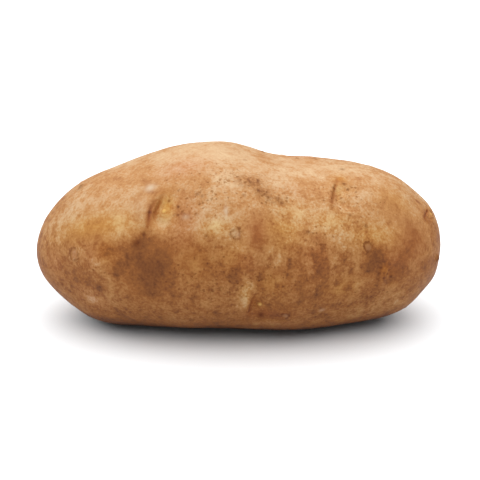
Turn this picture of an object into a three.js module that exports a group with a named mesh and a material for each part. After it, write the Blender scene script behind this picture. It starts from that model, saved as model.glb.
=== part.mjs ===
// A long baking potato, one solid tuber lying on its flatter side.
// Millimetres, +Z up. The origin is on the surface it lies on, under the middle of its box.
// +X runs from the stem end to the bud end, and -Y is the side with the large browed eye.
import * as THREE from "three";
import { mergeVertices } from "three/addons/utils/BufferGeometryUtils.js";

// Driving dimensions
const LENGTH = 136;
const HALF_LENGTH = LENGTH / 2;
const CORNER_SWELL = 0.028; // how much fuller than an ellipse a section is, halfway round each quarter
const FLAT_SPOT_DEPTH = 0.8; // how far up the underside the flat spot that it lies on reaches

// The tuber is an ellipsoid whose half height, half depth and middle change along its length.
// Each station: along, half height, half depth, height of the middle, sideways shift of the middle.
const STATIONS = [
  [-68, 32.6, 36.0, 24.8, 1.4],
  [-54, 34.3, 36.2, 25.0, 1.0],
  [-40.5, 32.5, 36.0, 27.1, 0.4],
  [-27, 31.0, 35.4, 29.1, -0.4],
  [-13.5, 30.6, 34.8, 30.2, -0.8],
  [-6, 30.5, 34.6, 30.4, -0.9],
  [3, 29.7, 34.4, 29.5, -0.9],
  [13.5, 28.8, 34.4, 28.4, -0.7],
  [27, 29.6, 34.9, 27.8, -0.3],
  [40.5, 33.0, 36.0, 27.4, 0.3],
  [54, 35.7, 38.0, 26.8, 0.9],
  [62, 36.9, 39.5, 26.7, 1.1],
  [68, 45.0, 43.0, 26.4, 1.2],
];

// Eyes wind round the tuber and crowd towards the bud end.
// Each: along, degrees round from the front horizontal (90 is the top), width across the brow.
const EYES = [
  [-51, 124, 9],
  [-39, 258, 9.5],
  [-25.5, 37, 12],
  [-9, 172, 11],
  [6, -26, 9],
  [17, 128, 10],
  [32, 52, 10.5],
  [38, 206, 9],
  [48, -5, 7.5],
  [54, 148, 7],
  [57, 286, 6.5],
  [62, 62, 6],
  [64.5, 205, 5],
];

// An eye's parts, as shares of its width
const BROW_BACK = 0.17; // how far the middle of the brow lies behind the eye's centre
const BROW_REACH = 0.46; // how far to each side the brow goes before it fades
const BROW_CREST = 0.14; // how far behind the brow's edge it is highest
const BROW_HEIGHT = 0.05;
const BROW_BREADTH = 0.17;
const HOLLOW_DEPTH = 0.125;
const HOLLOW_START = 0.09; // how far in front of the brow's edge the hollow is deepest
const HOLLOW_WALL = 0.15; // how far it takes to rise to the brow
const HOLLOW_REACH = 0.38; // how far it takes to run out towards the bud end
const BUD_AHEAD = 0.08;
const BUD_OUT = 0.04;
const BUD_RADIUS = 0.13;

// Broad dents: along, degrees round, half length along, half width round, turn in degrees, depth
const DENTS = [
  [-32, 12, 9, 17, 22, 1.3],
  [9, -14, 6, 15, 4, 0.8],
  [20, 96, 16, 15, 0, 0.9],
  [-46, -20, 10, 8, 0, 0.5],
  [36, -22, 10, 9, -20, 0.6],
  [30, 168, 14, 12, 25, 1.1],
  [-24, 205, 12, 14, -20, 0.9],
  [-40, 96, 12, 9, 10, 0.4],
];

// The stem scar, a small round pit behind the stem end's tip
const STEM_SCAR = { along: -66.4, around: 160, radius: 3.6, depth: 1.5 };

// Low rolling lumps all over: height, then the length of a wave along X, Y and Z
const LUMPS = [
  [0.34, 46, 130, 90],
  [0.26, -34, 60, 75],
  [0.2, 90, -38, 44],
  [0.14, 24, 70, -40],
];

// Mesh: segments along the body and across each of its four sides, on a box as long as GRID_ASPECT
const SEGMENTS_ALONG = 56;
const SEGMENTS_ACROSS = 22;
const GRID_ASPECT = 1.6;
const GATHER = 0.6; // how strongly the grid closes up round each eye
const GATHER_REACH = 1.25; // how far that reaches, as a share of the eye's width

const station = new THREE.CubicInterpolant(
  STATIONS.map((row) => row[0]),
  STATIONS.flatMap((row) => row.slice(1)),
  STATIONS[0].length - 1,
);

// The point of the bare body in a direction from its middle
function bodyPoint(direction) {
  const along = HALF_LENGTH * direction.x;
  const [halfHeight, halfDepth, middle, shift] = station.evaluate(along);
  const ring = Math.max(1e-9, direction.y ** 2 + direction.z ** 2);
  const swell = 1 + (CORNER_SWELL * 4 * (direction.y * direction.z) ** 2) / ring;
  return new THREE.Vector3(
    along,
    shift + halfDepth * swell * direction.y,
    middle + halfHeight * swell * direction.z,
  );
}

// The direction to a place given along the body and in degrees round it
function directionTo(along, around) {
  const x = along / HALF_LENGTH;
  const ring = Math.sqrt(1 - x * x);
  const turn = THREE.MathUtils.degToRad(around);
  return new THREE.Vector3(x, -ring * Math.cos(turn), ring * Math.sin(turn));
}

// A place on the body with its own axes: forward towards the bud end, across and outward
function placeAt(along, around) {
  const step = 0.5; // millimetres along and degrees round
  const direction = directionTo(along, around);
  const centre = bodyPoint(direction);
  const forward = bodyPoint(directionTo(along + step, around)).sub(
    bodyPoint(directionTo(along - step, around)),
  );
  const across = bodyPoint(directionTo(along, around + step)).sub(
    bodyPoint(directionTo(along, around - step)),
  );
  forward.normalize();
  const outward = new THREE.Vector3().crossVectors(forward, across).normalize();
  across.crossVectors(outward, forward);
  return { direction, centre, forward, across, outward };
}

const eyes = EYES.map(([along, around, width]) => ({
  ...placeAt(along, around),
  width,
}));
const dents = DENTS.map(([along, around, length, breadth, turn, depth]) => ({
  ...placeAt(along, around),
  length,
  breadth,
  turn: THREE.MathUtils.degToRad(turn),
  depth,
}));
const scar = { ...placeAt(STEM_SCAR.along, STEM_SCAR.around), ...STEM_SCAR };

const bell = (t) => Math.exp(-t * t);

// Where a point lies from a place, in the place's forward and across
function offsetFrom(place, point) {
  const delta = point.clone().sub(place.centre);
  return [delta.dot(place.forward), delta.dot(place.across), delta.length()];
}

// An eye: a curved brow on its stem side, the hollow in front of it, and the bud in the hollow
function eyeRelief(eye, point) {
  const [forward, across, distance] = offsetFrom(eye, point);
  const { width } = eye;
  if (distance > width) return 0;
  const browEdge = BROW_BACK * width * (4 * (across / width) ** 2 - 1);
  const ahead = forward - browEdge;
  const taper = Math.exp(-((across / (BROW_REACH * width)) ** 4));
  const brow = BROW_HEIGHT * bell((ahead + BROW_CREST * width) / (BROW_BREADTH * width));
  const past = ahead - HOLLOW_START * width;
  const side = past < 0 ? HOLLOW_WALL : HOLLOW_REACH;
  const hollow = HOLLOW_DEPTH * bell(past / (side * width));
  const budOffset = Math.hypot(forward - BUD_AHEAD * width, across);
  const bud = BUD_OUT * bell(budOffset / (BUD_RADIUS * width));
  return width * (taper * (brow - hollow) + bud);
}

function dentRelief(dent, point) {
  const [forward, across] = offsetFrom(dent, point);
  const along = forward * Math.cos(dent.turn) + across * Math.sin(dent.turn);
  const round = across * Math.cos(dent.turn) - forward * Math.sin(dent.turn);
  const facing = point.clone().sub(dent.centre).dot(dent.outward) > -dent.breadth;
  return facing ? -dent.depth * bell(along / dent.length) * bell(round / dent.breadth) : 0;
}

function scarRelief(point) {
  const [, , distance] = offsetFrom(scar, point);
  return -scar.depth * bell(distance / scar.radius);
}

// Each wave starts one radian on from the last
function lumpRelief(point) {
  const wave = ([height, x, y, z], index) =>
    height * Math.sin(2 * Math.PI * (point.x / x + point.y / y + point.z / z) + index);
  return LUMPS.map(wave).reduce((sum, value) => sum + value, 0);
}

function relief(point) {
  const sum = (places, rise) =>
    places.reduce((total, place) => total + rise(place, point), 0);
  return sum(eyes, eyeRelief) + sum(dents, dentRelief) + scarRelief(point) + lumpRelief(point);
}

// Turns a point of the box grid into a direction, evenly spread, and closes the grid up near eyes
function gridDirection(gridPoint) {
  const direction = new THREE.Vector3(
    Math.tan((gridPoint.x / GRID_ASPECT) * Math.atan(GRID_ASPECT)),
    Math.tan((gridPoint.y * Math.PI) / 4),
    Math.tan((gridPoint.z * Math.PI) / 4),
  ).normalize();
  const point = bodyPoint(direction);
  const pulled = direction.clone();
  for (const eye of eyes) {
    const reach = GATHER_REACH * eye.width;
    const pull = GATHER * bell(point.distanceTo(eye.centre) / reach);
    pulled.addScaledVector(eye.direction.clone().sub(direction), pull);
  }
  return pulled.normalize();
}

// Moves every vertex of a geometry to where a function puts it
function moveVertices(geometry, move) {
  const positions = geometry.getAttribute("position");
  const vertex = new THREE.Vector3();
  for (let i = 0; i < positions.count; i++) {
    vertex.fromBufferAttribute(positions, i);
    positions.setXYZ(i, ...move(vertex, i).toArray());
  }
}

function potatoGeometry() {
  const box = new THREE.BoxGeometry(
    2 * GRID_ASPECT,
    2,
    2,
    SEGMENTS_ALONG,
    SEGMENTS_ACROSS,
    SEGMENTS_ACROSS,
  );
  box.deleteAttribute("normal");
  box.deleteAttribute("uv");
  const geometry = mergeVertices(box);
  moveVertices(geometry, (gridPoint) => bodyPoint(gridDirection(gridPoint)));
  geometry.computeVertexNormals();
  const normals = geometry.getAttribute("normal");
  const normal = new THREE.Vector3();
  moveVertices(geometry, (point, i) => {
    normal.fromBufferAttribute(normals, i);
    return point.clone().addScaledVector(normal, relief(point));
  });
  splitShorter(geometry);
  settle(geometry);
  geometry.computeVertexNormals();
  return geometry;
}

// Splits each square of the grid, kept as the corners a, b, d, b, c, d, along its shorter diagonal
function splitShorter(geometry) {
  const index = geometry.getIndex();
  const positions = geometry.getAttribute("position");
  const corner = (i) => new THREE.Vector3().fromBufferAttribute(positions, i);
  for (let i = 0; i < index.count; i += 6) {
    const [a, b, d, , c] = index.array.slice(i, i + 6);
    if (corner(a).distanceTo(corner(c)) < corner(b).distanceTo(corner(d))) {
      index.array.set([a, b, c, a, c, d], i);
    }
  }
}

// Brings the middle of the box over the origin and presses the underside into the flat spot
function settle(geometry) {
  geometry.computeBoundingBox();
  const middle = geometry.boundingBox.getCenter(new THREE.Vector3());
  const lowest = geometry.boundingBox.min.z;
  geometry.translate(-middle.x, -middle.y, -lowest - FLAT_SPOT_DEPTH);
  moveVertices(geometry, (point) => point.setZ(Math.max(0, point.z)));
}

const skin = new THREE.MeshStandardMaterial({
  color: 0xb98a5c,
  roughness: 0.72,
  metalness: 0,
});

const potato = new THREE.Mesh(potatoGeometry(), skin);
potato.name = "potato";

const part = new THREE.Group();
part.add(potato);

export default part;
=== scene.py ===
# A long baking potato lying on a pale floor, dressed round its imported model.
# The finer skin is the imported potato's own mesh, subdivided, with creases, pores and scabs in it.
import math

import bmesh
import bpy
import numpy as np
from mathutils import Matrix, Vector, noise
from mathutils.bvhtree import BVHTree


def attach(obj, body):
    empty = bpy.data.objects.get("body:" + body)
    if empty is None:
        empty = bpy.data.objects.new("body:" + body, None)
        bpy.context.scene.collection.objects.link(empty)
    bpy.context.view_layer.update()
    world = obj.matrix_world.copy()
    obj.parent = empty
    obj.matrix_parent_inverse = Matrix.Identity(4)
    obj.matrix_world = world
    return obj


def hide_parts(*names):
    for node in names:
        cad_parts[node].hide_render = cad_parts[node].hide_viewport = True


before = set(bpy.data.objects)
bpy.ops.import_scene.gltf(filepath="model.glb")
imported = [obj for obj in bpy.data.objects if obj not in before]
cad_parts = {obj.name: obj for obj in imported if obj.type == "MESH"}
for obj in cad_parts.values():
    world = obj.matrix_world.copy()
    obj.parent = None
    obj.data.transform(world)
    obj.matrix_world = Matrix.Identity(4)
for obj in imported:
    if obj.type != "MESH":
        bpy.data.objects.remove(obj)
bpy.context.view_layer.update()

MM = 0.001

# Camera: straight in front of the potato and a little above it
IMAGE_SIZE = 480
LENS = 100
SENSOR = 36
ELEVATION = math.radians(20)
CAMERA_DISTANCE = 445.5 * MM
AIM = Vector((0.6, 0, 28.1)) * MM
CLIP_START = 10 * MM

# Light
SUN_STRENGTH = 5.5
SUN_SIZE = math.radians(120)
SUN_LEAN = math.radians(3)  # to the left of straight above
SKY_STRENGTH = 0.35

# Floor
FLOOR_SIZE = 60
FLOOR_COLOR = (0.71, 0.72, 0.732, 1)
FLOOR_ROUGHNESS = 0.9
FLOOR_SPECULAR = 0.1

# Skin mesh
SUBDIVISIONS = 2
MERGE_DISTANCE = 0.001 * MM

# Uneven skin all over: height and length of each, in mm
UNEVENNESS = {
    "rolls": (0.16, 9),
    "waves": (0.07, 3.6),
    "grain": (0.03, 1.4),
}

# Marks on the side that shows, each at its place in a picture of 480 by 480 pixels.
# Creases: pixels along the line, then half width, depth and height of the lip in mm, and darkness
CREASES = {
    "large_eye_brow": (
        [(165, 192), (161, 199), (158, 206), (155, 213), (154, 220)], 0.6, 0.45, 0.22, 0.8
    ),
    "large_eye_fold": (
        [(156, 200), (151, 208), (149, 216), (148, 224), (146, 231)], 0.5, 0.45, 0.2, 0.95
    ),
    "top_eye_brow": ([(337, 177), (335, 188), (333, 199), (333, 209)], 0.42, 0.4, 0.25, 0.55),
    "low_eye_brow": ([(258, 292), (253, 299), (250, 307), (249, 315)], 0.5, 0.45, 0.3, 0.65),
    "end_eye_brow": ([(427, 206), (427, 211), (424, 217), (427, 222)], 0.42, 0.3, 0.15, 0.9),
}

# Buds: pixel, radius and height in mm
BUDS = {
    "large_eye_bud": ((164, 211), 0.6, 0.35),
    "low_eye_bud": ((260, 304), 0.6, 0.3),
    "end_eye_bud": ((431, 214), 0.4, 0.2),
}

# Small dark warts, some of them on the outline: pixel, radius and height in mm
WARTS = {
    "above_scab": ((262, 152), 0.8, 0.5),
    "right_of_hump": ((297, 159), 0.8, 0.5),
    "waist": ((315, 159), 0.8, 0.5),
    "upper_left": ((82, 187), 1.2, 0.8),
    "right_tip": ((437, 258), 1.2, 0.8),
}

# Corky pores: pixel, half width and half height of the ring in mm, strength of the ring
PORES = {
    "left_pore": ((74, 254), 1.9, 2.3, 0.8),
    "right_pore": ((368, 247), 1.6, 2.0, 1.0),
    "middle_pore": ((236, 233), 1.6, 1.9, 1.0),
    "low_pore": ((285, 316), 1.4, 1.3, 0.7),
    "end_eye": ((430, 214), 1.6, 2.2, 0.8),
}

# Grey-brown scabs: pixel, half length and half width in mm, strength
SCABS = {
    "large_scab": ((246, 181), 3.4, 2.6, 1.0),
    "scab_beside": ((256, 183), 2.6, 3.0, 1.0),
    "trail_start": ((263, 192), 2.8, 1.8, 0.9),
    "trail_end": ((274, 199), 3.2, 1.5, 0.8),
    "low_scab": ((366, 298), 2.6, 1.6, 0.4),
    "below_low_eye": ((264, 315), 2.4, 1.3, 0.45),
    "beside_large_eye": ((172, 196), 1.2, 0.5, 0.5),
}

# Smooth yellow hollows: pixel, half length along and half width round in mm, strength
HOLLOWS = {
    "large_eye": ((167, 207), 2.9, 4.8, 1.0),
    "top_eye_wall": ((338, 193), 0.9, 3.2, 0.4),
    "top_eye": ((340, 179), 1.6, 1.3, 0.9),
    "low_eye": ((257, 303), 1.8, 2.8, 0.8),
    "end_eye": ((430, 214), 1.4, 1.9, 0.8),
    "orange_spot": ((385, 272), 2.4, 2.8, 0.6),
}

# Rubbed whitish spots: pixel, half length and half width in mm, strength
SCUFFS = {
    "brow_scuff": ((150, 188), 1.8, 1.4, 1.0),
    "white_scratch": ((226, 211), 0.55, 1.6, 0.9),
    "middle_pore_edge": ((238, 235), 0.5, 0.9, 0.3),
    "beside_fold": ((186, 217), 1.3, 0.9, 0.45),
    "above_fold": ((140, 208), 3.0, 4.5, 0.2),
    "low_fleck": ((322, 310), 0.9, 0.6, 0.4),
    "low_pore_edge": ((286, 316), 0.5, 0.9, 0.2),
}

# Small dark spots in each region: pixel and radius in mm
DARK_SPOTS = {
    "left_end": [
        ((62, 284), 0.5),
    ],
    "round_large_eye": [
        ((137, 243), 1.4),
        ((144, 234), 0.7),
        ((149, 212), 0.5),
        ((169, 201), 0.5),
        ((178, 207), 0.55),
        ((178, 215), 0.45),
        ((196, 214), 0.45),
        ((197, 194), 0.6),
        ((202, 196), 0.45),
        ((206, 236), 0.5),
    ],
    "elsewhere": [
        ((212, 290), 0.6),
        ((261, 315), 1.1),
        ((308, 232), 0.6),
        ((321, 314), 0.6),
        ((366, 226), 0.6),
    ],
    "scab_trail": [
        ((244, 195), 0.5),
        ((245, 160), 0.45),
        ((250, 182), 0.5),
        ((258, 181), 0.6),
        ((258, 191), 0.6),
        ((264, 194), 0.55),
        ((268, 197), 0.6),
        ((278, 200), 0.5),
        ((282, 203), 0.6),
    ],
    "top_eye": [
        ((334, 188), 0.6),
        ((341, 198), 0.45),
        ((342, 169), 0.8),
        ((344, 184), 0.6),
        ((348, 189), 0.45),
        ((350, 215), 0.5),
    ],
    "low_scab": [
        ((362, 297), 0.4),
        ((366, 304), 0.4),
        ((367, 297), 0.35),
        ((373, 302), 0.4),
    ],
    "orange_spot": [
        ((378, 279), 0.5),
        ((380, 273), 0.35),
        ((381, 268), 0.4),
        ((384, 273), 0.4),
        ((384, 278), 0.45),
        ((387, 274), 0.4),
        ((389, 270), 0.4),
        ((391, 276), 0.4),
    ],
}

# Paler and darker patches in each region: pixel, half length along and half width round in mm,
# lightness added
TONES = {
    "left_end": [
        ((62, 262), 3, 4, -0.08),
        ((62, 281), 4, 6, 0.06),
        ((68, 222), 7, 6, 0.05),
        ((75, 206), 5, 4, 0.05),
        ((82, 280), 5, 2.6, -0.05),
        ((85, 242), 6, 4, 0.08),
        ((92, 297), 4.4, 3.2, 0.27),
        ((95, 262), 3, 4, 0.1),
        ((100, 198), 10, 4, 0.08),
        ((100, 287), 1.6, 1.6, -0.22),
        ((104, 246), 3, 3, -0.06),
        ((110, 288), 8, 6, 0.03),
        ((112, 228), 6, 4, 0.08),
        ((116, 269), 2, 2.4, -0.2),
    ],
    "valley": [
        ((130, 249), 3.4, 2.6, -0.07),
        ((139, 240), 2.6, 2.6, -0.17),
        ((140, 298), 6, 5, -0.04),
        ((148, 268), 6, 9, -0.17),
        ((164, 241), 5, 3.4, -0.12),
        ((170, 248), 4.5, 3.5, -0.14),
        ((190, 262), 4, 6, -0.06),
    ],
    "round_large_eye": [
        ((139, 183), 3.2, 1.6, -0.1),
        ((143, 235), 1.2, 2, -0.12),
        ((152, 214), 1.8, 4.5, -0.16),
        ((154, 194), 2, 1.2, -0.08),
        ((158, 182), 7, 5, -0.06),
        ((162, 223), 1.9, 1.7, 0.17),
        ((163, 191), 3.5, 1.4, -0.1),
        ((177, 212), 1.2, 5, -0.06),
        ((184, 210), 1.6, 1.6, -0.06),
        ((184, 214), 3.5, 6.5, -0.15),
    ],
    "top": [
        ((215, 153), 13, 4, 0.06),
        ((292, 171), 8, 4, 0.15),
        ((325, 173), 4, 3.4, -0.15),
        ((352, 171), 9, 4, 0.13),
    ],
    "lower_middle": [
        ((205, 285), 7, 7, 0.06),
        ((232, 276), 2, 2.2, -0.12),
        ((238, 268), 2.6, 4, -0.06),
        ((243, 259), 1.5, 1.5, -0.08),
        ((246, 250), 8, 5, -0.04),
        ((262, 272), 1.2, 6, -0.1),
        ((276, 253), 1.6, 3, 0.05),
        ((298, 262), 1.4, 4, -0.1),
        ((301, 287), 2.4, 3.6, -0.07),
    ],
    "middle": [
        ((213, 227), 5, 3.2, 0.2),
        ((222, 182), 3, 2.5, 0.17),
        ((243, 230), 1.4, 3.6, -0.1),
        ((250, 181), 4, 2.6, -0.18),
        ((257, 234), 2.2, 5.2, -0.27),
        ((260, 192), 4, 2.4, -0.08),
        ((292, 206), 6, 5, 0.05),
        ((293, 213), 5, 4, 0.09),
    ],
    "round_low_eye": [
        ((230, 290), 7, 5, 0.06),
        ((238, 306), 2.6, 1.8, 0.12),
        ((245, 301), 1.6, 2.8, 0.12),
        ((247, 290), 1.7, 3.6, 0.26),
        ((252, 320), 7, 1.5, -0.06),
        ((255, 303), 1.3, 2.4, -0.08),
        ((265, 310), 3, 1.6, -0.06),
        ((270, 315), 7, 1.8, -0.1),
    ],
    "below_top_eye": [
        ((320, 240), 3, 1.4, -0.14),
        ((330, 222), 6, 4, 0.06),
    ],
    "lower_right": [
        ((323, 262), 2.4, 7, -0.12),
        ((325, 316), 2.4, 1, -0.12),
        ((338, 278), 6, 6, 0.05),
        ((338, 290), 2, 3, 0.1),
        ((340, 268), 1.2, 5, -0.1),
    ],
    "round_top_eye": [
        ((326, 184), 2, 2.6, -0.1),
        ((327, 203), 2.5, 2.5, 0.07),
        ((332, 202), 0.8, 2.6, -0.14),
        ((337, 181), 1.6, 1.3, -0.14),
        ((341, 191), 1.6, 2.4, 0.08),
        ((345, 183), 1.6, 1.5, -0.12),
        ((350, 188), 1.9, 1.4, -0.08),
    ],
    "right_end_below": [
        ((358, 286), 2.2, 3, 0.12),
        ((369, 250), 3, 3.4, -0.12),
        ((372, 264), 3, 3, -0.16),
        ((376, 311), 9, 2, 0.04),
        ((378, 252), 4, 3.6, -0.15),
        ((378, 306), 7, 2.4, 0.05),
        ((385, 250), 6, 5, -0.05),
        ((387, 270), 1.4, 1.4, 0.08),
        ((389, 299), 5, 4, 0.12),
        ((397, 264), 5.5, 5, -0.13),
        ((402, 299), 4, 2.4, 0.1),
        ((425, 262), 4, 5, -0.06),
    ],
    "right_end_above": [
        ((375, 231), 7, 3.5, 0.07),
        ((384, 196), 9, 7, -0.1),
        ((388, 212), 6, 5, -0.08),
        ((388, 238), 5, 4, 0.06),
        ((420, 205), 4, 4, -0.08),
        ((428, 238), 4, 5, 0.08),
    ],
}

# Yellower patches and redder ones: pixel, half length along and half width round in mm, strength
GOLDEN = {
    "left_end": ((98, 226), 17, 4.5, 0.9),
    "lower_left_end": ((105, 250), 4, 5, 0.6),
    "right_of_valley": ((196, 262), 7, 7, 0.5),
    "left_of_middle_pore": ((215, 228), 6, 3, 0.6),
    "right_of_rosy_stripe": ((285, 228), 7, 4, 0.75),
    "below_scab_trail": ((293, 214), 7, 4.5, 0.5),
    "below_top_eye": ((332, 222), 8, 4, 0.6),
    "top_eye": ((340, 185), 3, 6, 0.4),
    "above_right_pore": ((375, 235), 10, 4, 0.7),
    "right_of_low_eye": ((270, 284), 5, 5, 0.6),
    "low_eye_brow": ((246, 293), 2.2, 4.4, 0.6),
    "lower_right": ((342, 288), 6, 4, 0.6),
    "below_middle_pore": ((232, 258), 6, 5, 0.5),
    "middle": ((284, 240), 6, 4, 0.5),
    "upper_right": ((395, 200), 7, 5, 0.4),
    "orange_spot": ((387, 270), 2, 2, 0.8),
}
ROSY = {
    "middle_stripe": ((257, 233), 3, 5.5, 0.7),
    "left_pore": ((74, 254), 2, 2.4, 0.7),
    "beside_large_eye": ((184, 222), 5, 9, 0.7),
    "above_large_eye": ((182, 168), 8, 5, 0.6),
    "right_end": ((410, 244), 8, 8, 0.5),
    "left_end": ((92, 255), 5, 5, 0.5),
    "lower_left": ((92, 298), 5, 4, 0.6),
    "lower_right": ((397, 262), 6, 5, 0.6),
    "below_middle_pore": ((246, 262), 4, 4, 0.5),
    "lower_middle": ((318, 262), 5, 6, 0.4),
    "left_tip": ((55, 262), 4, 5, 0.5),
    "right_of_scab_trail": ((300, 192), 6, 3.5, 0.2),
    "below_low_eye": ((270, 314), 7, 2, 0.8),
}

# Where the mottle is fainter, where vertical streaks gather and where dark specks do:
# pixel, half length along and half width round in mm, strength
CALM = {
    "hump": ((215, 155), 14, 5, 0.5),
    "waist": ((300, 165), 12, 5, 0.5),
    "right_end": ((410, 232), 10, 10, 1.0),
    "left_end": ((95, 228), 16, 7, 0.8),
    "large_eye": ((166, 210), 3, 6, 0.6),
    "valley": ((150, 262), 9, 9, 0.7),
    "right_of_valley": ((190, 262), 6, 8, 0.7),
    "middle_stripe": ((258, 234), 5, 6, 0.7),
    "left_of_large_eye": ((140, 200), 7, 8, 0.6),
    "upper_left": ((84, 204), 12, 7, 0.7),
    "upper_right": ((395, 206), 10, 10, 0.7),
}
STREAKED = {
    "lower_right": ((310, 268), 24, 12, 0.9),
    "right_end": ((385, 262), 12, 8, 0.6),
    "lower_middle": ((230, 290), 20, 8, 0.5),
    "valley": ((150, 270), 8, 8, 0.5),
}
SPECKLED = {
    "right_of_large_eye": ((200, 192), 12, 9, 0.8),
    "round_scab": ((232, 178), 14, 7, 0.9),
    "scab_trail": ((270, 195), 10, 6, 0.8),
    "top_eye": ((350, 200), 10, 9, 0.9),
    "beside_large_eye": ((180, 212), 4, 8, 0.8),
    "below_top_eye": ((318, 240), 10, 4, 0.9),
    "lower_middle": ((230, 285), 24, 9, 1.0),
    "left_end": ((90, 275), 10, 8, 0.6),
    "low_scab": ((372, 296), 7, 4, 0.7),
    "lower_right": ((410, 285), 6, 4, 0.5),
    "upper_left": ((95, 190), 10, 4, 0.4),
}
PATCHES = {
    "golden": GOLDEN,
    "rosy": ROSY,
    "calm": CALM,
    "streaked": STREAKED,
    "speckled": SPECKLED,
}

# A thin ring's middle and breadth, as shares of the size of the oval that it lies in
RING_MIDDLE = 0.85
RING_BREADTH = 0.25

# A crease's lip and colours, as shares of its half width: how far behind the line the lip is highest,
# its breadth, its reach from the line, and how far the two colours reach
LIP_BACK = 1.6
LIP_BREADTH = 1.2
LIP_REACH = 3
CREASE_REACH = 0.9
STAIN_REACH = 2.4
CREASE_END = 0.02  # the share of the line at each end over which it fades no further

# A bud's darker ring, as a share of the bud's radius, and its strength
BUD_RING = 1.7
BUD_RING_STRENGTH = 0.5

# A pore's raised rim and sunk middle: place and breadth as shares of its size, height and depth in mm
PORE_RIM = 0.9
PORE_RIM_BREADTH = 0.3
PORE_RIM_HEIGHT = 0.12
PORE_MIDDLE = 0.6
PORE_MIDDLE_DEPTH = 0.1
# Beyond these, as shares of a pore's size, no distance from it is kept and it leaves no mark
FAR = 9
PORE_REACH = 2.5

SCAB_HEIGHT = 0.1  # in mm

# Places on the sides that don't show are found by lines towards the body's axis, from well outside it
AXIS_HEIGHT = 28  # in mm
OUTSIDE = 200 * MM

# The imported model's eyes on those sides: along in mm, degrees round from the front, width in mm
HIDDEN_EYES = [
    (-51, 124, 9),
    (-39, 258, 9.5),
    (-9, 172, 11),
    (17, 128, 10),
    (38, 206, 9),
    (54, 148, 7),
    (57, 286, 6.5),
    (64.5, 205, 5),
]
BODY_RADIUS = 33  # in mm, to turn a distance across the brow into degrees round

# Their parts, as shares of the eye's width
BROW_STEPS = (-0.42, -0.22, 0, 0.22, 0.42)
BROW_BACK = 0.17
HOLLOW_AHEAD = 0.1
HOLLOW_LENGTH = 0.18
HOLLOW_BREADTH = 0.32
BUD_AHEAD = 0.08
# Their creases and buds, with sizes in the order given above, and the strength of their hollows
HIDDEN_CREASE = (0.42, 0.5, 0.25, 0.8)
HIDDEN_BUD = (0.6, 0.3)
HIDDEN_HOLLOW_STRENGTH = 0.8

# The stem scar: along in mm, degrees round from the front, radius in mm
STEM_SCAR = (-66.4, 160, 3.2)
STEM_SCAR_STRENGTH = 0.8

# Other marks on those sides: how many, and the ranges that their places, sizes in mm and strengths
# are drawn from
SEED = 7
HIDDEN_PORES = 22
PORE_ALONG = (-60, 60)
PORE_AROUND = (118, 310)
PORE_RADIUS = (0.9, 1.6)
PORE_STRETCH = (1, 1.4)
PORE_STRENGTH = (0.5, 1)
PATCH_ALONG = (-62, 62)
PATCH_AROUND = (120, 300)
HIDDEN_PATCHES = 9
PATCH_LENGTH = (5, 12)
PATCH_BREADTH = (4, 9)
PATCH_STRENGTH = (0.4, 0.9)
HIDDEN_TONES = 34
TONE_LENGTH = (2, 9)
TONE_BREADTH = (2, 8)
TONE_LIGHTNESS = (-0.22, 0.15)


def camera_axes():
    """The camera's back, right and up directions."""
    back = Vector((0, -math.cos(ELEVATION), math.sin(ELEVATION)))
    right = Vector((1, 0, 0))
    return back, right, back.cross(right)


def make_camera():
    back, _, _ = camera_axes()
    camera = bpy.data.objects.new("camera", bpy.data.cameras.new("camera"))
    camera.data.lens = LENS
    camera.data.sensor_width = SENSOR
    camera.data.clip_start = CLIP_START
    camera.location = AIM + back * CAMERA_DISTANCE
    camera.rotation_euler = back.to_track_quat("Z", "Y").to_euler()
    bpy.context.scene.collection.objects.link(camera)
    bpy.context.scene.camera = camera


def pixel_ray(pixel):
    """Where a pixel's line of sight starts, and its direction."""
    back, right, up = camera_axes()
    focal = LENS / SENSOR * IMAGE_SIZE
    x = (pixel[0] - IMAGE_SIZE / 2) / focal
    y = (IMAGE_SIZE / 2 - pixel[1]) / focal
    return AIM + back * CAMERA_DISTANCE, (right * x + up * y - back).normalized()


def fine_mesh(node):
    """The node's mesh with its triangles joined in pairs, then subdivided."""
    mesh = bpy.data.meshes.new("skin")
    grid = bmesh.new()
    grid.from_mesh(node.data)
    bmesh.ops.remove_doubles(grid, verts=grid.verts, dist=MERGE_DISTANCE)
    bmesh.ops.join_triangles(
        grid,
        faces=grid.faces,
        angle_face_threshold=math.pi,
        angle_shape_threshold=math.pi,
    )
    grid.to_mesh(mesh)
    grid.free()
    rough = bpy.data.objects.new("rough", mesh)
    bpy.context.scene.collection.objects.link(rough)
    subdivide = rough.modifiers.new("subdivide", "SUBSURF")
    subdivide.levels = subdivide.render_levels = SUBDIVISIONS
    evaluated = rough.evaluated_get(bpy.context.evaluated_depsgraph_get())
    fine = bpy.data.meshes.new_from_object(evaluated)
    bpy.data.objects.remove(rough)
    bpy.data.meshes.remove(mesh)
    return fine


def bell(t):
    return np.exp(-t * t)


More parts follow.
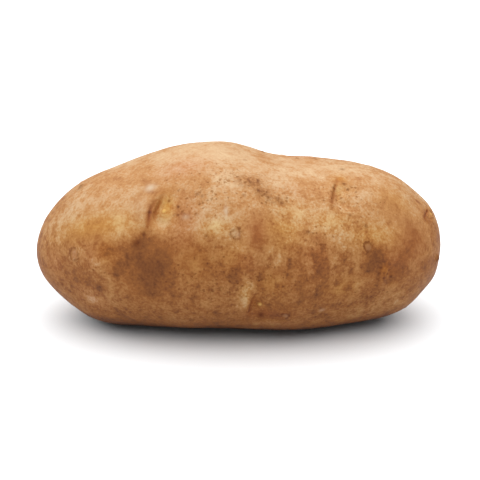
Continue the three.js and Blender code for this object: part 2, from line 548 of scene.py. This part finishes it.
class Skin:
    """The fine mesh as arrays, with places found on it and heights and masks gathered for it."""

    def __init__(self, mesh):
        self.mesh = mesh
        count = len(mesh.vertices)
        self.points = np.empty(3 * count)
        self.normals = np.empty(3 * count)
        mesh.vertices.foreach_get("co", self.points)
        mesh.vertex_normals.foreach_get("vector", self.normals)
        self.points = self.points.reshape(-1, 3)
        self.normals = self.normals.reshape(-1, 3)
        self.tree = BVHTree.FromPolygons(
            [v.co for v in mesh.vertices], [p.vertices for p in mesh.polygons]
        )
        self.height = np.zeros(count)
        self.masks = {}

    def place(self, origin, direction):
        """A place where a line meets the skin: its point and its forward, across and outward axes."""
        point, outward, _, _ = self.tree.ray_cast(origin, direction)
        forward = Vector((1, 0, 0))
        forward = (forward - outward * forward.dot(outward)).normalized()
        axes = (forward, outward.cross(forward), outward)
        return np.array(point), np.array([list(axis) for axis in axes])

    def at_pixel(self, pixel):
        return self.place(*pixel_ray(pixel))

    def at_angle(self, along, around):
        """A place given in mm along the body and in degrees round it from the front."""
        turn = math.radians(around)
        outward = Vector((0, -math.cos(turn), math.sin(turn)))
        axis = Vector((along, 0, AXIS_HEIGHT)) * MM
        return self.place(axis + outward * OUTSIDE, -outward)

    def offsets(self, place):
        """Every point's distances from a place along its forward, across and outward axes, in mm."""
        point, axes = place
        return ((self.points - point) @ axes.T / MM).T

    def mask(self, name):
        return self.masks.setdefault(name, np.zeros(len(self.points)))

    def cover(self, name, values):
        """Raises a mask to the values given."""
        self.masks[name] = np.maximum(self.mask(name), values)

    def add(self, name, values):
        self.masks[name] = self.mask(name) + values

    def distance(self, place, length, breadth):
        """Every point's distance from a place, as a share of an oval's half length and breadth."""
        forward, across, outward = self.offsets(place)
        reach = (length + breadth) / 2
        return np.sqrt((forward / length) ** 2 + (across / breadth) ** 2 + (outward / reach) ** 2)

    def spot(self, place, length, breadth):
        """A soft oval: 1 at a place, falling off over its half length and half breadth."""
        return bell(self.distance(place, length, breadth))

    def ring(self, place, length, breadth):
        """A thin soft ring just inside the half length and half breadth given."""
        return bell((self.distance(place, length, breadth) - RING_MIDDLE) / RING_BREADTH)

    def line(self, places):
        """Every point's distance from a line through places and distance ahead of it, in mm,
        and its share along the line."""
        nearest = np.full(len(self.points), np.inf)
        ahead = np.zeros(len(self.points))
        along = np.zeros(len(self.points))
        pieces = len(places) - 1
        for index, ((start, axes), (end, _)) in enumerate(zip(places, places[1:])):
            step = end - start
            share = np.clip((self.points - start) @ step / (step @ step), 0, 1)
            offset = self.points - (start + share[:, None] * step)
            distance = np.linalg.norm(offset, axis=1) / MM
            closer = distance < nearest
            side = np.cross(step, axes[2])
            side *= np.sign(side @ axes[0]) / np.linalg.norm(side)
            nearest[closer] = distance[closer]
            ahead[closer] = (offset[closer] @ side) / MM
            along[closer] = (index + share[closer]) / pieces
        return nearest, ahead, along


def add_unevenness(skin):
    """Rolls, waves and grain over all of the skin."""
    for height, length in UNEVENNESS.values():
        rise = [noise.noise(Vector(p / (length * MM))) for p in skin.points]
        skin.height += height * np.array(rise)


def add_crease(skin, places, width, depth, lip, darkness):
    """A sharp fold with a raised lip on its stem side."""
    distance, ahead, along = skin.line(places)
    taper = np.sqrt(np.sin(math.pi * np.clip(along, CREASE_END, 1 - CREASE_END)))
    skin.height -= taper * depth * bell(distance / width)
    lip_shape = bell((ahead + LIP_BACK * width) / (LIP_BREADTH * width))
    lip_shape *= bell(distance / (LIP_REACH * width))
    skin.height += taper * lip * lip_shape
    skin.cover("crease", darkness * taper * bell(distance / (CREASE_REACH * width)))
    skin.cover("stain", darkness * taper * bell(distance / (STAIN_REACH * width)))


def add_bud(skin, place, radius, height):
    """A bud with a thin darker ring round its foot."""
    spot = skin.spot(place, radius, radius)
    ring = skin.ring(place, BUD_RING * radius, BUD_RING * radius)
    skin.height += height * spot
    skin.cover("bud", spot)
    skin.cover("stain", BUD_RING_STRENGTH * ring)


def add_pore(skin, place, length, breadth, strength):
    """A corky ring round a slightly sunk middle, kept as the distance from it and its strength."""
    distance = skin.distance(place, length, breadth)
    skin.height += PORE_RIM_HEIGHT * bell((distance - PORE_RIM) / PORE_RIM_BREADTH)
    skin.height -= PORE_MIDDLE_DEPTH * bell(distance / PORE_MIDDLE)
    skin.masks["pore_distance"] = np.minimum(skin.masks.get("pore_distance", FAR), distance)
    skin.cover("pore", strength * (distance < PORE_REACH))


def add_scab(skin, place, length, breadth, strength):
    spot = skin.spot(place, length, breadth)
    skin.height += SCAB_HEIGHT * strength * spot
    skin.cover("scab", strength * spot)


def add_wart(skin, place, radius, height):
    spot = skin.spot(place, radius, radius)
    skin.height += height * spot
    skin.cover("dark_spot", spot)


def add_hidden_eye(skin, along, around, width):
    """An eye on a side that doesn't show: a curved crease, a smooth hollow and a bud."""
    degrees_per_mm = 180 / (math.pi * BODY_RADIUS)
    brow = []
    for across in BROW_STEPS:
        # The brow curves back from both ends of the width to its middle
        shift = BROW_BACK * (4 * across * across - 1) * width
        brow.append(skin.at_angle(along + shift, around + across * width * degrees_per_mm))
    add_crease(skin, brow, *HIDDEN_CREASE)
    hollow = skin.at_angle(along + HOLLOW_AHEAD * width, around)
    spot = skin.spot(hollow, HOLLOW_LENGTH * width, HOLLOW_BREADTH * width)
    skin.cover("hollow", HIDDEN_HOLLOW_STRENGTH * spot)
    add_bud(skin, skin.at_angle(along + BUD_AHEAD * width, around), *HIDDEN_BUD)


def add_stem_scar(skin, along, around, radius):
    """A corky disc with a darker rim where the stem came off."""
    place = skin.at_angle(along, around)
    skin.cover("scab", STEM_SCAR_STRENGTH * skin.spot(place, radius, radius))
    skin.cover("stain", STEM_SCAR_STRENGTH * skin.ring(place, radius, radius))


def add_hidden_marks(skin):
    """Eyes, pores and patches on the sides that don't show, the last two spread by a seeded draw."""
    draw = np.random.default_rng(SEED)

    def drawn_oval(length_range, breadth_range):
        place = skin.at_angle(draw.uniform(*PATCH_ALONG), draw.uniform(*PATCH_AROUND))
        return skin.spot(place, draw.uniform(*length_range), draw.uniform(*breadth_range))

    for eye in HIDDEN_EYES:
        add_hidden_eye(skin, *eye)
    add_stem_scar(skin, *STEM_SCAR)
    for _ in range(HIDDEN_PORES):
        place = skin.at_angle(draw.uniform(*PORE_ALONG), draw.uniform(*PORE_AROUND))
        radius = draw.uniform(*PORE_RADIUS)
        breadth = radius * draw.uniform(*PORE_STRETCH)
        add_pore(skin, place, radius, breadth, draw.uniform(*PORE_STRENGTH))
    for name in PATCHES:
        for _ in range(HIDDEN_PATCHES):
            oval = drawn_oval(PATCH_LENGTH, PATCH_BREADTH)
            skin.cover(name, draw.uniform(*PATCH_STRENGTH) * oval)
    for _ in range(HIDDEN_TONES):
        oval = drawn_oval(TONE_LENGTH, TONE_BREADTH)
        skin.add("tone", draw.uniform(*TONE_LIGHTNESS) * oval)


def add_marks(skin):
    """The marks on the side that shows."""
    for pixels, *sizes in CREASES.values():
        add_crease(skin, [skin.at_pixel(pixel) for pixel in pixels], *sizes)
    for add_mark, marks in (
        (add_bud, BUDS),
        (add_pore, PORES),
        (add_scab, SCABS),
        (add_wart, WARTS),
    ):
        for pixel, *sizes in marks.values():
            add_mark(skin, skin.at_pixel(pixel), *sizes)
    for spots in DARK_SPOTS.values():
        for pixel, radius in spots:
            skin.cover("dark_spot", skin.spot(skin.at_pixel(pixel), radius, radius))
    for name, marks in {"hollow": HOLLOWS, "scuff": SCUFFS, **PATCHES}.items():
        for pixel, length, breadth, strength in marks.values():
            skin.cover(name, strength * skin.spot(skin.at_pixel(pixel), length, breadth))
    for tones in TONES.values():
        for pixel, length, breadth, lightness in tones:
            skin.add("tone", lightness * skin.spot(skin.at_pixel(pixel), length, breadth))


def finish_mesh(skin):
    """Moves the mesh by the heights gathered, keeps it above the floor and writes its masks."""
    moved = skin.points + skin.normals * (skin.height * MM)[:, None]
    moved[:, 2] = np.maximum(moved[:, 2], 0)
    skin.mesh.vertices.foreach_set("co", moved.ravel())
    for name, values in skin.masks.items():
        attribute = skin.mesh.attributes.new(name, "FLOAT", "POINT")
        attribute.data.foreach_set("value", values)
    skin.mesh.shade_smooth()
    skin.mesh.update()


def linear(red, green, blue):
    """A colour given as the 0 to 255 values that a screen shows, as light, by the sRGB curve."""
    values = (red / 255, green / 255, blue / 255)
    light = [v / 12.92 if v <= 0.04045 else ((v + 0.055) / 1.055) ** 2.4 for v in values]
    return (*light, 1)


# Skin colours from the darkest to the palest, each at its lightness from 0 to 1
SKIN_COLORS = [
    (0.0, linear(52, 27, 10)),
    (0.2, linear(96, 54, 24)),
    (0.4, linear(130, 79, 36)),
    (0.62, linear(156, 111, 65)),
    (0.8, linear(169, 136, 100)),
    (1.0, linear(180, 153, 118)),
]
# What each mark multiplies the skin colour by
SPECK_TINT = (0.56, 0.42, 0.22, 1)
TINTS = {
    "golden": (1.03, 0.97, 0.62, 1),
    "rosy": (1.0, 0.88, 0.95, 1),
    "scab": (0.6, 0.48, 0.34, 1),
    "hollow": (0.99, 0.87, 0.42, 1),
    "stain": (0.72, 0.48, 0.2, 1),
    "ring": (0.5, 0.36, 0.2, 1),
    "dark_spot": (0.46, 0.31, 0.12, 1),
    "crease": (0.72, 0.5, 0.2, 1),
}
# Colours that cover the skin colour, and how fully that of a bud does
SCUFF_COLOR = linear(172, 148, 122)
CORE_COLOR = linear(140, 100, 66)
BUD_COLOR = linear(190, 152, 84)
BUD_COVER = 0.8

# Noise in the colours: size in mm, detail and roughness
CLOUDS = (13, 3, 0.55)
MOTTLE = (2.8, 5, 0.58)
GRAIN = (0.8, 3, 0.6)
STREAKS = (2.4, 4, 0.55)
FLECKS = (1.1, 3, 0.7)
PORE_BENDS = (1.6, 3, 0.55)
RING_GAPS = (2.1, 2, 0.55)
CRUMBS = (1.5, 3, 0.7)
STREAK_STRETCH = (1, 0.24, 0.24)

# Values between which a pattern goes from absent to full
STREAK_EDGES = (0.56, 0.38)
FLECK_EDGES = (0.42, 0.33)
RING_GAP_EDGES = (0.35, 0.6)
CRUMB_EDGES = (0.36, 0.56)

# Heights in mm between which the darker lower skin turns into the paler upper skin, partly the skin's
# own colour and partly painted shade below and painted light above, it gets palest, partly a painted
# sheen on the top, its mottle gets fainter, and, going down, it darkens towards the floor as painted
# shade where it meets the floor
UPPER_EDGES = (24, 46)
TOP_EDGES = (48, 60)
CROWN_EDGES = (44, 58)
FOOT_SHADE_EDGES = (10, 0)
# Lightness of the lower and the upper skin (partly painted shade and light), and what the top (partly
# a painted sheen) and the foot (painted shade) change it by
LOWER_LIGHTNESS = 0.42
UPPER_LIGHTNESS = 0.65
TOP_LIGHTNESS = 0.1
FOOT_SHADE = -0.42
# How far clouds and mottle move those heights, in mm
CLOUD_SHIFT = 24
MOTTLE_SHIFT = 8

# How much of the mottle and the grain calm skin and the crown lose
CALM_LOSS = 0.5
CROWN_LOSS = 0.35
# How strongly each pattern changes the lightness, as an amount added or as a share of it
CLOUD_AMOUNT = 0.4
PALE_MOTTLE = 0.5  # what is left of the mottle's paler half
MOTTLE_AMOUNT = 0.48
MOTTLE_SHARE = 0.7
GRAIN_AMOUNT = 0.27
GRAIN_SHARE = 0.6
STREAK_SHARE = 0.25
PLAIN_SHARE = 1.03  # of the lightness, where no pattern changes it
RAGGEDNESS = 1.6  # how strongly the mottle breaks up tones and scuffs

# Dark specks: spacing in mm, how far they are bent out of their rows and how long the bends are in mm,
# how many there are all over and how many more where they gather, and their size
SPECK_SPACING = 1.3
SPECK_BEND = 0.9
SPECKS_EVERYWHERE = 0.26
SPECKS_GATHERED = 0.68
SPECK_SIZE = 0.5
SPECK_EDGES = (-0.12, 0.1)
# Flecks beside them, all over and where they gather, and the strength of both
FLECKS_EVERYWHERE = 0.25
FLECKS_GATHERED = 0.6
SPECK_STRENGTH = 0.75

# A pore's colours: how strongly its outline bends, where the ring is and how broad, as shares of
# its size, and where its middle begins and is full
PORE_BENDING = 1.6
PORE_RING = 0.85
PORE_RING_EDGES = (0.5, 0.0)
CORE_EDGES = (0.7, 0.2)
CORE_COVER = 0.5

# Surface
ROUGHNESS = 0.62
MOTTLE_ROUGHNESS = 0.25
SPECULAR = 0.16
BUMP_DISTANCE = 0.25 * MM
BUMP_STRENGTH = 0.6
GRAIN_BUMP = 0.8
SPECK_BUMP = -0.4


class Nodes:
    """Short names for making and joining a material's nodes."""

    def __init__(self, tree):
        self.tree = tree

    def make(self, kind, inputs=(), **settings):
        node = self.tree.nodes.new(kind)
        for name, value in settings.items():
            setattr(node, name, value)
        for key, value in dict(inputs).items():
            self.give(node.inputs[key], value)
        return node

    def give(self, socket, value):
        if isinstance(value, bpy.types.NodeSocket):
            self.tree.links.new(value, socket)
        else:
            socket.default_value = value

    def mask(self, name):
        return self.make("ShaderNodeAttribute", attribute_name=name).outputs["Fac"]

    def math(self, operation, first, second=0.0, third=0.0):
        inputs = {0: first, 1: second, 2: third}
        return self.make("ShaderNodeMath", inputs, operation=operation).outputs[0]

    def scaled(self, value, factor, start=0.0):
        """The value times the factor, added to the start."""
        return self.math("MULTIPLY_ADD", value, factor, start)

    def product(self, first, second):
        return self.math("MULTIPLY", first, second)

    def noise(self, place, size, detail, roughness):
        """Noise from 0 to 1 whose features are about size mm across."""
        inputs = {
            "Vector": place,
            "Scale": 1 / (size * MM),
            "Detail": detail,
            "Roughness": roughness,
        }
        return self.make("ShaderNodeTexNoise", inputs).outputs["Fac"]

    def centred_noise(self, place, *settings):
        """Noise from -0.5 to 0.5."""
        return self.math("SUBTRACT", self.noise(place, *settings), 0.5)

    def between(self, value, start, end):
        """0 before the start, 1 past the end and smooth between. The end may be the lower one."""
        inputs = {"Value": value, "From Min": start, "From Max": end}
        node = self.make("ShaderNodeMapRange", inputs, interpolation_type="SMOOTHSTEP")
        return node.outputs["Result"]

    def between_heights(self, height, edges):
        return self.between(height, edges[0] * MM, edges[1] * MM)

    def blend(self, factor, first, second, mode="MIX"):
        """The second colour over the first, or multiplied into it, by a factor from 0 to 1."""
        node = self.make("ShaderNodeMix", data_type="RGBA", blend_type=mode)
        # The mix node numbers its sockets for colours 6 and 7, and the one that gives a colour 2
        self.give(node.inputs[0], factor)
        self.give(node.inputs[6], first)
        self.give(node.inputs[7], second)
        return node.outputs[2]

    def ramp(self, value, colors):
        """The colour at a value, from pairs of a position and a colour."""
        node = self.make("ShaderNodeValToRGB", {"Fac": value})
        stops = node.color_ramp.elements
        while len(stops) < len(colors):
            stops.new(0.5)
        for stop, (position, color) in zip(stops, colors):
            stop.position = position
            stop.color = color
        return node.outputs["Color"]


def skin_mottle(nodes, place, height):
    """Mottle and grain, both fainter on calm skin and on the crown."""
    crown = nodes.between_heights(height, CROWN_EDGES)
    liveliness = nodes.scaled(nodes.mask("calm"), -CALM_LOSS, 1.0)
    liveliness = nodes.product(liveliness, nodes.scaled(crown, -CROWN_LOSS, 1.0))
    mottle = nodes.product(nodes.centred_noise(place, *MOTTLE), liveliness)
    grain = nodes.product(nodes.centred_noise(place, *GRAIN), liveliness)
    return mottle, grain


def skin_streaks(nodes, place):
    """Vertical streaks where they gather."""
    stretched = nodes.make("ShaderNodeMapping", {"Vector": place, "Scale": STREAK_STRETCH})
    streaks = nodes.noise(stretched.outputs[0], *STREAKS)
    return nodes.product(nodes.between(streaks, *STREAK_EDGES), nodes.mask("streaked"))


def skin_specks(nodes, place):
    """Dark specks of uneven size and spacing, thicker where they gather, and flecks among them."""
    speckled = nodes.mask("speckled")
    bends = nodes.make("ShaderNodeTexNoise", {"Vector": place, "Scale": 1 / (SPECK_BEND * MM)})
    shift = nodes.make(
        "ShaderNodeVectorMath",
        {0: bends.outputs["Color"], "Scale": SPECK_BEND * MM},
        operation="SCALE",
    )
    bent = nodes.make("ShaderNodeVectorMath", {0: place, 1: shift.outputs[0]})
    cells = nodes.make(
        "ShaderNodeTexVoronoi",
        {"Vector": bent.outputs[0], "Scale": 1 / (SPECK_SPACING * MM)},
    )
    chance = nodes.make("ShaderNodeSeparateColor", {"Color": cells.outputs["Color"]}).outputs[0]
    number = nodes.scaled(speckled, SPECKS_GATHERED, SPECKS_EVERYWHERE)
    size = nodes.product(nodes.math("SUBTRACT", number, chance), SPECK_SIZE)
    specks = nodes.math("SUBTRACT", size, cells.outputs["Distance"])
    specks = nodes.between(specks, *SPECK_EDGES)
    flecks = nodes.between(nodes.noise(place, *FLECKS), *FLECK_EDGES)
    flecks = nodes.product(flecks, nodes.scaled(speckled, FLECKS_GATHERED, FLECKS_EVERYWHERE))
    return nodes.product(nodes.math("MAXIMUM", specks, flecks), SPECK_STRENGTH)


def skin_lightness(nodes, place, height, mottle, grain, ragged):
    """How light the skin is, from 0 to 1, before its marks. Its darkening low down and paling high up
    are partly the skin's own colour and partly painted shade and light, its top's extra paleness is
    partly a painted sheen, and its darkening at the foot is painted shade.
    """
    # Painted shade where the skin comes down to the floor
    foot = nodes.between_heights(height, FOOT_SHADE_EDGES)
    clouds = nodes.centred_noise(place, *CLOUDS)
    height = nodes.scaled(clouds, CLOUD_SHIFT * MM, height)
    height = nodes.scaled(mottle, MOTTLE_SHIFT * MM, height)
    # Darker low and paler high: partly the skin's own colour, partly painted shade below and painted
    # light above; the top's extra paleness is partly a painted sheen
    upper = nodes.between_heights(height, UPPER_EDGES)
    top = nodes.between_heights(height, TOP_EDGES)
    lightness = nodes.scaled(upper, UPPER_LIGHTNESS - LOWER_LIGHTNESS, LOWER_LIGHTNESS)
    lightness = nodes.scaled(top, TOP_LIGHTNESS, lightness)
    # The painted shade at the foot
    lightness = nodes.scaled(foot, FOOT_SHADE, lightness)
    lightness = nodes.scaled(clouds, CLOUD_AMOUNT, lightness)
    lightness = nodes.scaled(nodes.mask("tone"), ragged, lightness)

    duller = nodes.math("MINIMUM", mottle, nodes.product(mottle, PALE_MOTTLE))
    share = nodes.scaled(duller, MOTTLE_SHARE, PLAIN_SHARE)
    share = nodes.scaled(grain, GRAIN_SHARE, share)
    share = nodes.scaled(skin_streaks(nodes, place), -STREAK_SHARE, share)
    lightness = nodes.product(lightness, share)
    lightness = nodes.scaled(duller, MOTTLE_AMOUNT, lightness)
    return nodes.scaled(grain, GRAIN_AMOUNT, lightness)


def pore_ring_and_core(nodes, place):
    """The broken dark ring of the pores, and their middles."""
    pore = nodes.mask("pore")
    bends = nodes.centred_noise(place, *PORE_BENDS)
    distance = nodes.scaled(bends, PORE_BENDING, nodes.mask("pore_distance"))
    from_ring = nodes.math("ABSOLUTE", nodes.math("SUBTRACT", distance, PORE_RING))
    ring = nodes.product(nodes.between(from_ring, *PORE_RING_EDGES), pore)
    ring = nodes.product(ring, nodes.between(nodes.noise(place, *RING_GAPS), *RING_GAP_EDGES))
    core = nodes.product(nodes.between(distance, *CORE_EDGES), pore)
    return ring, nodes.product(core, CORE_COVER)


def marked_color(nodes, place, color, specks, ragged):
    """The skin colour with its specks and marks."""
    smooth = nodes.math("SUBTRACT", 1.0, nodes.mask("hollow"))
    color = nodes.blend(nodes.product(specks, smooth), color, SPECK_TINT, "MULTIPLY")
    ring, core = pore_ring_and_core(nodes, place)
    crumbs = nodes.between(nodes.noise(place, *CRUMBS), *CRUMB_EDGES)
    patterned = {"ring": ring, "scab": nodes.product(nodes.mask("scab"), crumbs)}
    for name, tint in TINTS.items():
        amount = patterned[name] if name in patterned else nodes.mask(name)
        color = nodes.blend(amount, color, tint, "MULTIPLY")
    for amount, cover in (
        (nodes.product(nodes.mask("scuff"), ragged), SCUFF_COLOR),
        (core, CORE_COLOR),
        (nodes.product(nodes.mask("bud"), BUD_COVER), BUD_COLOR),
    ):
        color = nodes.blend(amount, color, cover)
    return color


def skin_material():
    """The skin's colour, roughness and finest bumps."""
    material = bpy.data.materials.new("potato_skin")
    material.use_nodes = True
    shader = material.node_tree.nodes["Principled BSDF"]
    nodes = Nodes(material.node_tree)
    place = nodes.make("ShaderNodeTexCoord").outputs["Object"]
    height = nodes.make("ShaderNodeSeparateXYZ", {0: place}).outputs["Z"]

    mottle, grain = skin_mottle(nodes, place, height)
    specks = skin_specks(nodes, place)
    ragged = nodes.scaled(mottle, RAGGEDNESS, 1.0)
    lightness = skin_lightness(nodes, place, height, mottle, grain, ragged)
    color = nodes.ramp(lightness, SKIN_COLORS)
    color = marked_color(nodes, place, color, specks, ragged)

    rise = nodes.scaled(grain, GRAIN_BUMP, mottle)
    rise = nodes.scaled(specks, SPECK_BUMP, rise)
    bump = nodes.make(
        "ShaderNodeBump",
        {"Height": rise, "Distance": BUMP_DISTANCE, "Strength": BUMP_STRENGTH},
    )
    nodes.give(shader.inputs["Base Color"], color)
    nodes.give(shader.inputs["Roughness"], nodes.scaled(mottle, MOTTLE_ROUGHNESS, ROUGHNESS))
    nodes.give(shader.inputs["Normal"], bump.outputs["Normal"])
    shader.inputs["Specular IOR Level"].default_value = SPECULAR
    return material


def make_potato():
    """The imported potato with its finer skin."""
    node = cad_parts["potato"]
    skin = Skin(fine_mesh(node))
    add_unevenness(skin)
    add_marks(skin)
    add_hidden_marks(skin)
    finish_mesh(skin)
    skin.mesh.materials.clear()
    skin.mesh.materials.append(skin_material())
    potato = bpy.data.objects.new("potato_skin", skin.mesh)
    bpy.context.scene.collection.objects.link(potato)
    return potato


def make_floor():
    """A wide pale floor."""
    mesh = bpy.data.meshes.new("floor")
    half = FLOOR_SIZE / 2
    corners = [(-half, -half, 0), (half, -half, 0), (half, half, 0), (-half, half, 0)]
    mesh.from_pydata(corners, [], [(0, 1, 2, 3)])
    floor = bpy.data.objects.new("floor", mesh)
    bpy.context.scene.collection.objects.link(floor)
    material = bpy.data.materials.new("floor")
    material.use_nodes = True
    shader = material.node_tree.nodes["Principled BSDF"]
    shader.inputs["Base Color"].default_value = FLOOR_COLOR
    shader.inputs["Roughness"].default_value = FLOOR_ROUGHNESS
    shader.inputs["Specular IOR Level"].default_value = FLOOR_SPECULAR
    mesh.materials.append(material)
    return floor


def make_light():
    """A wide soft light nearly straight above, and a white room round it."""
    sun = bpy.data.objects.new("overhead", bpy.data.lights.new("overhead", "SUN"))
    sun.data.energy = SUN_STRENGTH
    sun.data.angle = SUN_SIZE
    sun.rotation_euler = (0, -SUN_LEAN, 0)
    bpy.context.scene.collection.objects.link(sun)
    world = bpy.data.worlds.new("room")
    world.use_nodes = True
    background = world.node_tree.nodes["Background"]
    background.inputs["Color"].default_value = (1, 1, 1, 1)
    background.inputs["Strength"].default_value = SKY_STRENGTH
    bpy.context.scene.world = world
    bpy.context.scene.view_settings.view_transform = "Standard"


make_camera()
make_light()
potato = make_potato()
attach(potato, "root")
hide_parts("potato")
make_floor()
